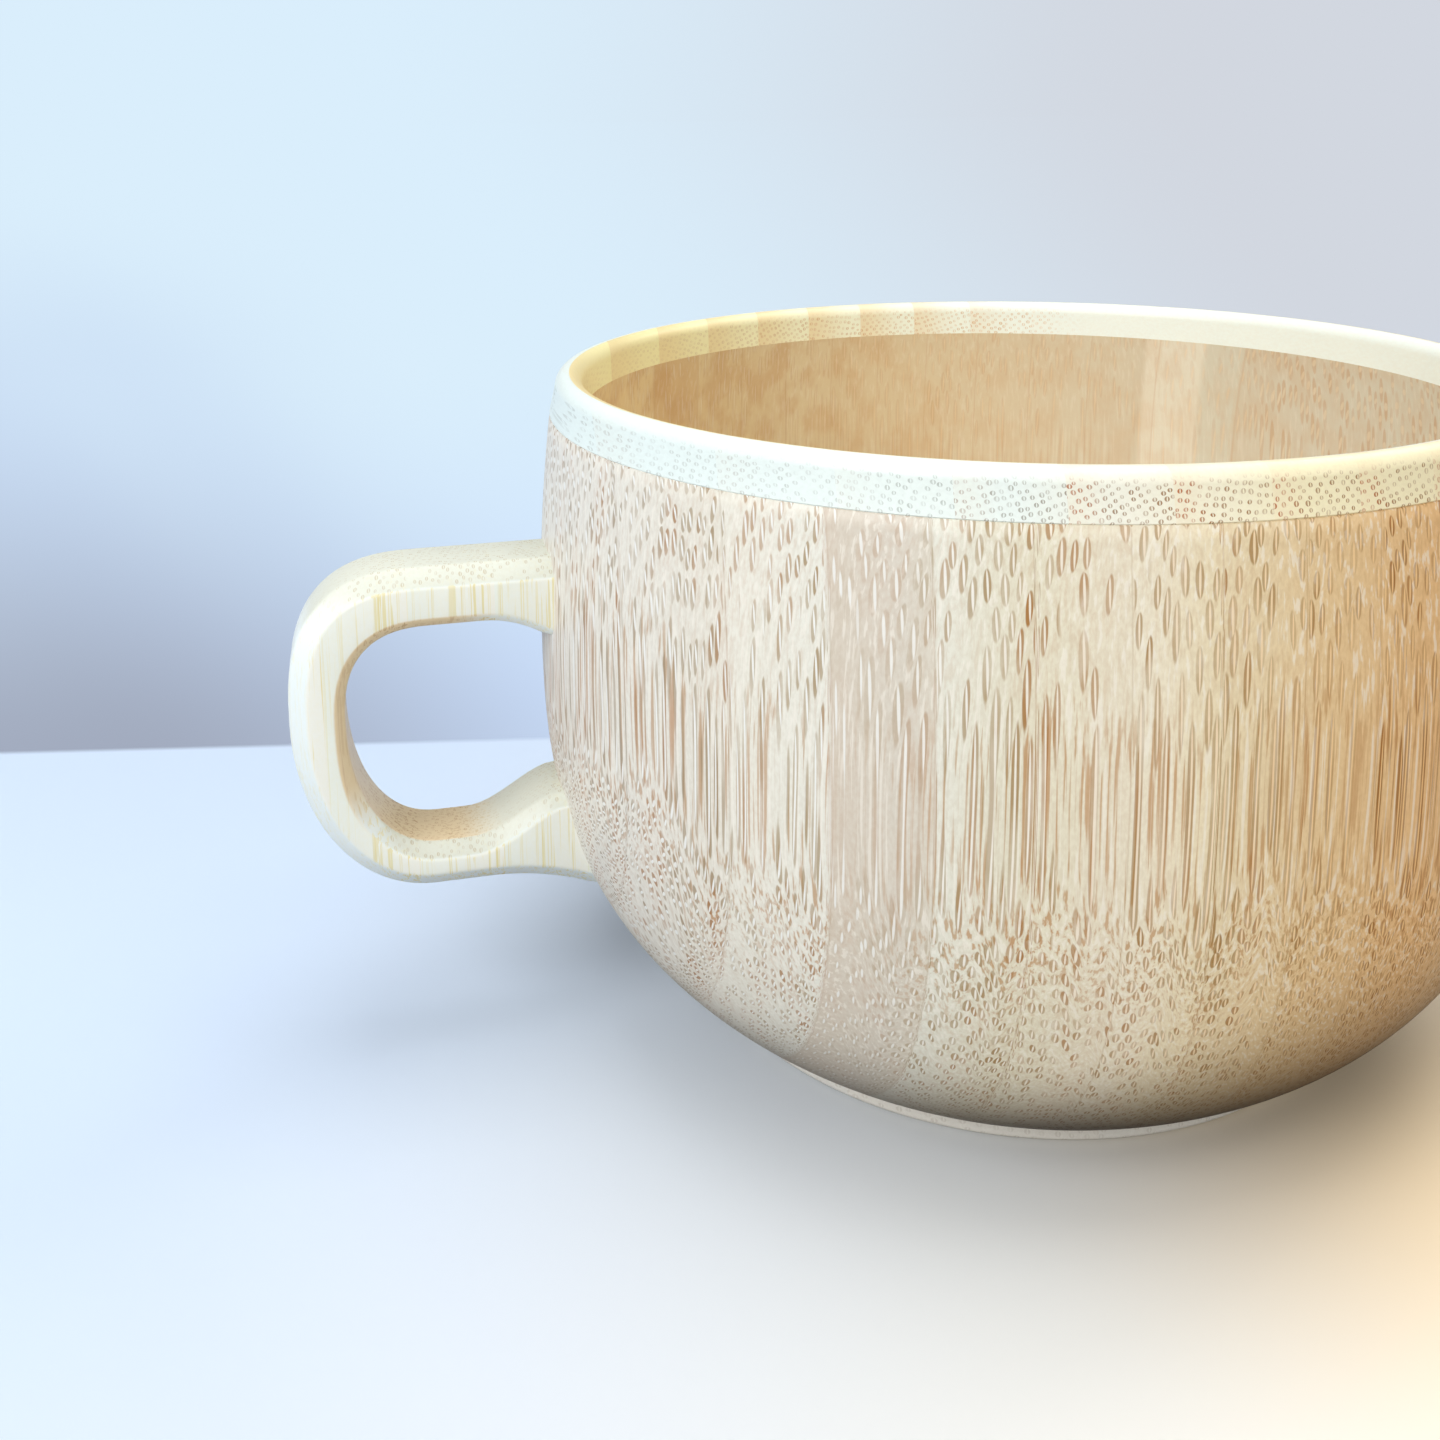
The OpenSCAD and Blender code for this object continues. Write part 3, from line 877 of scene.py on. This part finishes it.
def make_rim():
    """Turns the rim ring with its rounded lip and saws it at the glue planes."""
    lip_round = lip_w / 2
    lip_h = rim_top - lip_round
    points = [(neck_r - wall_neck, neck_h), (neck_r - joint_line, neck_h), (neck_r, neck_h + joint_line)]
    for i in range(LIP_STEPS + 1):
        angle = math.pi * i / LIP_STEPS
        points.append((lip_r + lip_round * math.cos(angle), lip_h + lip_round * math.sin(angle)))
    ring = turned(points)
    for i, planes in enumerate(strip_cuts(rim_glue), 1):
        name = f"rim_strip_{i:02d}"
        new_piece(f"{name}_wood", sawn(ring, planes), rim_wood, "rim_bamboo", name)
    ring.free()


def make_base():
    """Turns the base with its plug and saws it at the glue planes."""
    flat_r = foot_r - foot_edge
    points = [(0, 0), (flat_r, 0)]
    for i in range(1, FOOT_EDGE_STEPS + 1):
        angle = math.pi * i / (2 * FOOT_EDGE_STEPS)
        points.append((flat_r + foot_edge * math.sin(angle), foot_edge - foot_edge * math.cos(angle)))
    points += [(foot_r, foot_h), (plug_r, foot_h), (plug_r, floor_h), (0, floor_h)]
    disc = turned(points, closed=False)
    for i, planes in enumerate(strip_cuts(base_glue), 1):
        name = f"base_strip_{i}"
        new_piece(f"{name}_wood", sawn(disc, planes), foot_wood, "foot_bamboo", name)
    disc.free()


# Side view of the handle, as (distance from the axis, height)
def ease(t):
    """A share from 0 to 1 with a soft start and end."""
    t = max(0.0, min(1.0, t))
    return t * t * (3 - 2 * t)


def bend(start, wide, high, power, from_angle, to_angle):
    """Points round one quarter of a squared-off ellipse, level with the grip's middle."""
    points = []
    for i in range(BEND_STEPS + 1):
        angle = math.radians(from_angle + (to_angle - from_angle) * i / BEND_STEPS)
        side = abs(math.cos(angle)) ** (2 / power)
        up = math.copysign(abs(math.sin(angle)) ** (2 / power), math.sin(angle))
        points.append((start + wide * side, grip_mid + high * up))
    return points


def upper_outside(t):
    """The top of the upper arm; t is 0 inside the wall and 1 where the bend begins."""
    return arm_start + (bend_out - arm_start) * t, handle_top


def lower_outside(t):
    """The underside of the lower arm, with t as above."""
    back = 1 - t
    dropped = root_drop * max(0, (back - 0.3) / 0.7) ** 2
    return bend_out + (arm_start - bend_out) * back, handle_low - dropped


def upper_inside(t):
    """The underside of the upper arm, with t as above."""
    back = 1 - t
    flared = flare * max(0, min(1, (back - 0.28) / 0.38)) ** 2
    return bend_in + (arm_start - bend_in) * back, hole_top - flared


def lower_inside(t):
    """The top of the lower arm, with t as above."""
    back = 1 - t
    raised = (root_top - hole_low) * ease((back - 0.17) / 0.55)
    return bend_in + (arm_start - bend_in) * back, hole_low + raised


def meet_bowl(line):
    """The share along a line where it leaves the bowl's outside."""
    low, high = 0.0, 1.0
    for _ in range(HALVINGS):
        middle = (low + high) / 2
        h, z = line(middle)
        if h < outer_radius(z):
            low = middle
        else:
            high = middle
    return high


def from_bowl(line):
    """Points along an arm's line, from the bowl to the bend."""
    end = meet_bowl(line)
    return [line(end + (1 - end) * i / ARM_STEPS) for i in range(ARM_STEPS)]


def to_bowl(line):
    """Points along an arm's line, from the bend to the bowl."""
    end = meet_bowl(line)
    return [line(1 - (1 - end) * (i + 1) / ARM_STEPS) for i in range(ARM_STEPS)]


def outer_line():
    """The handle's outside, from the upper arm's end round to the lower arm's end."""
    wide = reach - bend_out
    points = from_bowl(upper_outside)
    points += bend(bend_out, wide, handle_top - grip_mid, OUTER_BENDS[0], 90, 0)
    points += bend(bend_out, wide, grip_mid - handle_low, OUTER_BENDS[1], 0, -90)[1:]
    return points + to_bowl(lower_outside)


def inner_line():
    """The finger hole, from the upper arm's end round to the lower arm's end."""
    wide = hole_end - bend_in
    points = from_bowl(upper_inside)
    points += bend(bend_in, wide, hole_top - grip_mid, INNER_BENDS[0], 90, 0)
    points += bend(bend_in, wide, grip_mid - hole_low, INNER_BENDS[1], 0, -90)[1:]
    return points + to_bowl(lower_inside)


def square_to(line, k):
    """Unit vector square to a side line at one point, towards the loop's middle."""
    before = line[max(0, k - 1)]
    after = line[min(len(line) - 1, k + 1)]
    along = Vector((after[0] - before[0], after[1] - before[1]))
    return Vector((along.y, -along.x)).normalized()


def hole_bevel(z):
    """The finger hole's bevel, which widens towards the lower arm."""
    return bevel_in * (1 + bevel_grows * ease((grip_mid - z) / (grip_mid - hole_low)))


def handle_section(outside, inside, k):
    """The eight corners of the bevelled section at one place along the handle."""
    out = Vector(outside[k])
    hole = Vector(inside[k])
    out_cut = out + square_to(outside, k) * bevel_out
    cut = hole_bevel(hole.y)
    hole_cut = hole - square_to(inside, k) * cut
    face = board_t / 2
    corners = [
        (out_cut, -face), (out, -(face - bevel_out)), (out, face - bevel_out), (out_cut, face),
        (hole_cut, face), (hole, face - cut), (hole, -(face - cut)), (hole_cut, -face),
    ]
    places = [Vector((-p.x, y, p.y)) for p, y in corners]
    if k in (0, len(outside) - 1):
        for place in places:
            place.x = end_sink - math.sqrt(outer_radius(place.z) ** 2 - place.y ** 2)
    return places


def swept_board():
    """Sweeps the bevelled section round the loop and softens its long edges."""
    outside = outer_line()
    inside = inner_line()
    board = bmesh.new()
    ring = [board.verts.new(p) for p in handle_section(outside, inside, 0)]
    first = [board.edges.new((a, b)) for a, b in zip(ring, ring[1:] + ring[:1])]
    edges = first
    for k in range(1, len(outside)):
        places = handle_section(outside, inside, k)
        old = [v.co.copy() for v in ring]
        result = bmesh.ops.extrude_edge_only(board, edges=edges)["geom"]
        fresh = [v for v in result if isinstance(v, bmesh.types.BMVert)]
        ring = [min(fresh, key=lambda v, co=co: (v.co - co).length) for co in old]
        for vert, place in zip(ring, places):
            vert.co = place
        edges = [e for e in result if isinstance(e, bmesh.types.BMEdge) and all(v in ring for v in e.verts)]
    bmesh.ops.holes_fill(board, edges=first + edges, sides=0)
    bmesh.ops.recalc_face_normals(board, faces=board.faces)
    board.edges.ensure_lookup_table()
    ends = set(first + edges)
    long_edges = [e for e in board.edges if e not in ends and e.calc_face_angle(0) > long_edge]
    bmesh.ops.bevel(
        board, geom=long_edges, offset=edge_soft, segments=SOFT_EDGE_STEPS, profile=0.5,
        affect="EDGES", material=-1,
    )
    return board


def make_handle():
    """Saws the handle's board at the glue planes, and the inner strips where the loop parts them."""
    board = swept_board()
    above = ((0, 0, grip_mid), (0, 0, -1))
    below = ((0, 0, grip_mid), (0, 0, 1))
    outer, bend_strip, middle, inner = strip_cuts(handle_glue)
    cuts = {
        "handle_outer_strip": outer,
        "handle_bend_strip": bend_strip,
        "handle_upper_middle_strip": middle + [above],
        "handle_lower_middle_strip": middle + [below],
        "handle_upper_inner_strip": inner + [above],
        "handle_lower_inner_strip": inner + [below],
    }
    for name, planes in cuts.items():
        new_piece(f"{name}_wood", sawn(board, planes), handle_wood, "handle_bamboo", name)
    board.free()


make_body()
make_rim()
make_base()
make_handle()

for name in ("upper_dowel", "lower_dowel"):
    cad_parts[name].data.materials.clear()
    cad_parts[name].data.materials.append(dowel_wood)


# The stage: a pale table, with a pale cloth behind its back edge
FLOOR_SIZE = 8
TABLE_COOL = (208, 226, 250)
TABLE_WARM = (252, 247, 234)
TABLE_GLOW = (255, 222, 164)
TABLE_BOUNCE = (104, 92, 78)
CLOTH_LEFT = (218, 238, 252)
CLOTH_RIGHT = (210, 215, 224)
CLOTH_LOW_LEFT = (162, 171, 190)
CLOTH_LOW_RIGHT = (206, 226, 255)
CLOTH_FOLD = (186, 204, 236)
SURROUND = (0.97, 0.985, 1, 1)
SURROUND_POWER = 0.34

# Where the table's painted light warms to the right, and the patch of warm light painted in the shadow
table_warms = (-120 * mm, 100 * mm)
glow_x = 34 * mm
glow_y = -46 * mm
glow_fades = (56 * mm, 8 * mm)
glow_share = 0.65

# How much darker reflected rays find the table, its back edge and the camera's distance
glossy_loss = 0.7
diffuse_loss = 0.5
table_back = 62.5 * mm
table_back_blur = 2 * mm
eye_back = 160 * mm


def table_colour(tree, axes, ray):
    """The table: cooler on the left, with warm light in the cup's shadow, both painted light, and darker to
    reflected rays.
    """
    warm = band(tree, calc(tree, "MULTIPLY_ADD", axes["Y"], -0.7, axes["X"]), *table_warms)
    table = blend(tree, warm, TABLE_COOL, TABLE_WARM)
    off_x = calc(tree, "SUBTRACT", axes["X"], glow_x)
    off_y = calc(tree, "SUBTRACT", axes["Y"], glow_y)
    glow = band(tree, distance(tree, off_x, off_y), *glow_fades)
    table = blend(tree, product(tree, glow, glow_share), table, TABLE_GLOW)
    diffuse = product(tree, ray["Is Diffuse Ray"], diffuse_loss)
    less = calc(tree, "MULTIPLY_ADD", ray["Is Glossy Ray"], glossy_loss, diffuse)
    return blend(tree, less, table, TABLE_BOUNCE)


def cloth_colour(tree, axes):
    """The cloth: with the painted shade of soft folds, and darker and bluer near the table on the left, a
    painted shade.
    """
    depth = calc(tree, "DIVIDE", 100 * mm, calc(tree, "ADD", axes["Y"], eye_back))
    side = product(tree, axes["X"], depth)
    fold_at = put(tree, "ShaderNodeCombineXYZ", {
        "X": calc(tree, "MULTIPLY_ADD", depth, 0.6, product(tree, side, 26)), "Y": depth,
    }).outputs[0]
    folds = band(tree, noise(tree, fold_at, 2)["Fac"], 0.3, 0.7)
    high = blend(tree, band(tree, side, 0 * mm, 60 * mm), CLOTH_LEFT, CLOTH_RIGHT)
    low = blend(tree, band(tree, side, -45 * mm, -5 * mm), CLOTH_LOW_LEFT, CLOTH_LOW_RIGHT)
    left = band(tree, side, -5 * mm, -35 * mm)
    hanging = product(tree, left, folds, band(tree, depth, 0.04, 0.16, 0, 0.6))
    cloth = blend(tree, hanging, high, CLOTH_FOLD)
    return blend(tree, band(tree, depth, 0.16, 0.42), cloth, low)


def stage_floor():
    """A wide pale floor; past the table's back edge it takes the cloth's colours."""
    mesh_data = bmesh.new()
    bmesh.ops.create_grid(mesh_data, x_segments=2, y_segments=2, size=FLOOR_SIZE)
    mesh = bpy.data.meshes.new("floor")
    mesh_data.to_mesh(mesh)
    mesh_data.free()
    floor = bpy.data.objects.new("floor", mesh)
    bpy.context.scene.collection.objects.link(floor)
    material, tree = empty_material("pale_table")
    axes = parted(tree, put(tree, "ShaderNodeTexCoord").outputs["Object"])
    ray = tree.nodes.new("ShaderNodeLightPath").outputs
    table = table_colour(tree, axes, ray)
    surface = put(tree, "ShaderNodeBsdfPrincipled", {"Base Color": table, "Roughness": 0.55})
    seen = put(tree, "ShaderNodeEmission", {"Color": cloth_colour(tree, axes), "Strength": 1.0})

    edge = calc(tree, "MULTIPLY_ADD", axes["X"], 0.2, axes["Y"])
    behind = band(tree, edge, table_back, table_back + table_back_blur)
    looked_at = calc(tree, "MAXIMUM", ray["Is Camera Ray"], ray["Is Glossy Ray"])
    pick = put(tree, "ShaderNodeMixShader", {
        0: product(tree, behind, looked_at), 1: surface.outputs[0], 2: seen.outputs[0],
    })
    put(tree, "ShaderNodeOutputMaterial", {"Surface": pick.outputs[0]})
    mesh.materials.append(material)


def surround():
    """An even pale surround, which the camera sees in the cloth's colours."""
    world = bpy.data.worlds.new("surround")
    bpy.context.scene.world = world
    world.use_nodes = True
    tree = world.node_tree
    tree.nodes.clear()
    ray = tree.nodes.new("ShaderNodeLightPath").outputs
    around = put(tree, "ShaderNodeBackground", {"Color": SURROUND, "Strength": SURROUND_POWER})
    way = parted(tree, put(tree, "ShaderNodeTexCoord").outputs["Generated"])
    right = band(tree, calc(tree, "DIVIDE", way["X"], way["Y"]), 0, 0.6)
    cloth = blend(tree, right, CLOTH_LEFT, CLOTH_RIGHT)
    seen = put(tree, "ShaderNodeBackground", {"Color": cloth, "Strength": 1.0})
    pick = put(tree, "ShaderNodeMixShader", {
        0: ray["Is Camera Ray"], 1: around.outputs[0], 2: seen.outputs[0],
    })
    put(tree, "ShaderNodeOutputWorld", {"Surface": pick.outputs[0]})


# Square lamps, as (place in m, size in m, power, colour), all aimed at the cup
LAMPS = {
    "window": ((-0.6, -0.35, 0.5), 0.5, 4.3, (1.0, 1.0, 1.0)),
    "ceiling": ((0.05, 0.0, 0.9), 0.6, 3.15, (1.0, 0.99, 0.97)),
    "far_side": ((0.5, 0.25, 0.6), 0.4, 1.5, (1.0, 0.97, 0.92)),
    "room": ((0.4, -0.65, 0.4), 0.5, 1.15, (1.0, 0.98, 0.95)),
}
lit_point = Vector((0, 0, 0.03))


def studio_light():
    """Soft daylight from the left and above."""
    for name, (place, size, power, colour) in LAMPS.items():
        data = bpy.data.lights.new(name, "AREA")
        data.size = size
        data.energy = power
        data.color = colour
        lamp = bpy.data.objects.new(name, data)
        lamp.location = place
        lamp.rotation_euler = (lit_point - Vector(place)).to_track_quat("-Z", "Y").to_euler()
        bpy.context.scene.collection.objects.link(lamp)


# The camera, from the circles in the photograph; its turns are in radians
PHOTO_PX = 1440
FOCAL_PX = 1533.3
CENTRE_PX = 400
SENSOR_MM = 36
NEAREST_M = 0.01
camera_place = Vector((-70.89, -153.58, 97.62)) * mm
camera_turn = 0.2337
camera_down = 0.1916
camera_lean = -0.0114


def photo_camera():
    """A camera where the photograph was taken, with the shift of its upright crop."""
    data = bpy.data.cameras.new("photo_camera")
    data.sensor_width = SENSOR_MM
    data.lens = data.sensor_width * FOCAL_PX / PHOTO_PX
    data.shift_y = -(PHOTO_PX / 2 - CENTRE_PX) / PHOTO_PX
    data.clip_start = NEAREST_M
    camera = bpy.data.objects.new("photo_camera", data)
    forward = Vector((
        math.sin(camera_turn) * math.cos(camera_down),
        math.cos(camera_turn) * math.cos(camera_down),
        -math.sin(camera_down),
    ))
    level = Vector((math.cos(camera_turn), -math.sin(camera_turn), 0))
    upright = level.cross(forward)
    right = level * math.cos(camera_lean) + upright * math.sin(camera_lean)
    up = upright * math.cos(camera_lean) - level * math.sin(camera_lean)
    turn = Matrix((right, up, -forward)).transposed().to_4x4()
    camera.matrix_world = Matrix.Translation(camera_place) @ turn
    bpy.context.scene.collection.objects.link(camera)
    bpy.context.scene.camera = camera


stage_floor()
surround()
studio_light()
photo_camera()
bpy.context.scene.view_settings.view_transform = "Standard"
